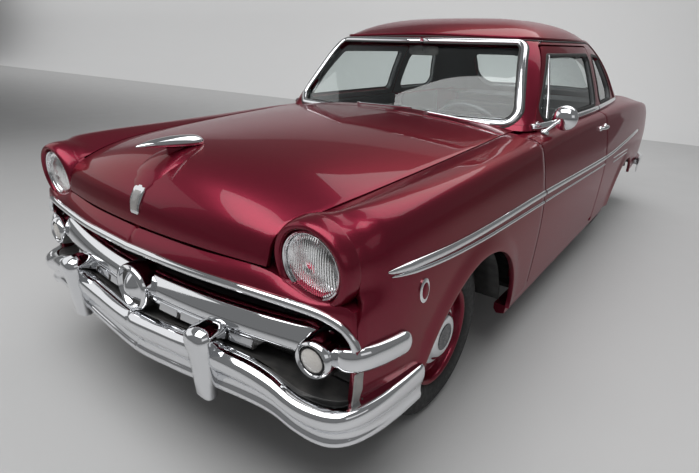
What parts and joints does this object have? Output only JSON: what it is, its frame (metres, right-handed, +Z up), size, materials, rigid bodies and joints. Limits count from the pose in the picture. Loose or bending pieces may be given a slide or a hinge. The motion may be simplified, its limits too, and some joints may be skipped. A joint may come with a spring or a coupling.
{
  "type": "two-door sedan car",
  "caption": "Full-size 1950s two-door sedan with hollow cabin, opening doors, hood and trunk lid, steered front wheels, wrapped bumpers and a floating grille bar.",
  "frame": {"origin": "on the ground under the middle of the overall length and width", "axes": "+X to the car's left, +Y to its rear, +Z up; the front faces -Y"},
  "size_m": [1.8839, 5.037, 1.585],
  "materials": {
    "paint": "gloss metallic maroon",
    "chrome": "polished",
    "glass": "clear",
    "lamp_red": "gloss red lens",
    "tyre": "matt",
    "black_steel": "satin black",
    "cast_iron": "rough",
    "fabric": "woven grey",
    "plastic": "satin dark"
  },
  "bodies": {
    "body": {"chassis_frame": "black_steel", "floor_pan": "black_steel", "rocker_panels": "paint", "front_fenders": "paint", "cowl": "paint", "roof": "paint", "quarter_panels": "paint", "deck_panel": "paint", "parcel_shelf": "fabric", "tail_panel": "paint", "nose_panel": "paint", "windshield": "glass", "rear_window": "glass", "quarter_windows": "glass", "grille_bar": "chrome", "stone_pan": "black_steel", "bumper_front": "chrome", "bumper_rear": "chrome", "headlamp_bezels": "paint", "headlamp_lenses": "glass", "tail_lamps": "lamp_red", "radiator_support": "black_steel", "engine_block": "cast_iron", "drive_shaft": "black_steel", "exhaust": "black_steel", "fuel_tank": "black_steel", "rear_axle": "black_steel", "front_suspension": "black_steel", "front_bench": "fabric", "rear_bench": "fabric", "dashboard": "plastic", "inside_mirror": "chrome", "wipers": "chrome"},
    "hood": {"hood": "paint", "hood_ornament": "chrome"},
    "trunk_lid": {"trunk_lid": "paint"},
    "door_left": {"door_left": "paint", "door_glass_left": "glass", "door_mirror": "chrome"},
    "door_right": {"door_right": "paint", "door_glass_right": "glass"},
    "steering_wheel": {"steering_wheel": "plastic"},
    "knuckle_left": {"knuckle_left": "black_steel"},
    "knuckle_right": {"knuckle_right": "black_steel"},
    "wheel_front_left": {"tyre_front_left": "tyre", "wheel_front_left": "paint"},
    "wheel_front_right": {"tyre_front_right": "tyre", "wheel_front_right": "paint"},
    "wheel_rear_left": {"tyre_rear_left": "tyre", "wheel_rear_left": "paint"},
    "wheel_rear_right": {"tyre_rear_right": "tyre", "wheel_rear_right": "paint"}
  },
  "joints": [
    {"name": "hood_hinge", "type": "hinge", "parent": "body", "child": "hood", "pos_m": [0, -1.0235, 1.103], "axis": [-1, 0, 0], "range_deg": [0, 48]},
    {"name": "trunk_hinge", "type": "hinge", "parent": "body", "child": "trunk_lid", "pos_m": [0, 1.8845, 1.049], "axis": [1, 0, 0], "range_deg": [0, 70]},
    {"name": "door_left_hinge", "type": "hinge", "parent": "body", "child": "door_left", "pos_m": [0.929, -0.9345, 0.7], "axis": [0, 0, -1], "range_deg": [0, 65]},
    {"name": "door_right_hinge", "type": "hinge", "parent": "body", "child": "door_right", "pos_m": [-0.929, -0.9345, 0.7], "axis": [0, 0, 1], "range_deg": [0, 65]},
    {"name": "steer_left", "type": "hinge", "parent": "body", "child": "knuckle_left", "pos_m": [0.655, -1.6555, 0.345], "axis": [0, 0, 1], "range_deg": [-30, 30]},
    {"name": "steer_right", "type": "hinge", "parent": "body", "child": "knuckle_right", "pos_m": [-0.655, -1.6555, 0.345], "axis": [0, 0, 1], "range_deg": [-30, 30]},
    {"name": "steering_wheel_turn", "type": "hinge", "parent": "body", "child": "steering_wheel", "pos_m": [0.35, -0.6075, 0.905], "axis": [0, 0.8577, 0.5141], "range_deg": [-540, 540]},
    {"name": "spin_front_left", "type": "hinge", "parent": "knuckle_left", "child": "wheel_front_left", "pos_m": [0.7365, -1.6555, 0.345], "axis": [1, 0, 0], "continuous": true},
    {"name": "spin_front_right", "type": "hinge", "parent": "knuckle_right", "child": "wheel_front_right", "pos_m": [-0.7365, -1.6555, 0.345], "axis": [1, 0, 0], "continuous": true},
    {"name": "spin_rear_left", "type": "hinge", "parent": "body", "child": "wheel_rear_left", "pos_m": [0.711, 1.2785, 0.345], "axis": [1, 0, 0], "continuous": true},
    {"name": "spin_rear_right", "type": "hinge", "parent": "body", "child": "wheel_rear_right", "pos_m": [-0.711, 1.2785, 0.345], "axis": [1, 0, 0], "continuous": true}
  ],
  "couplings": [
    {"joint": "steer_right", "follows": "steer_left", "ratio": 1},
    {"joint": "steering_wheel_turn", "follows": "steer_left", "ratio": 18}
  ]
}
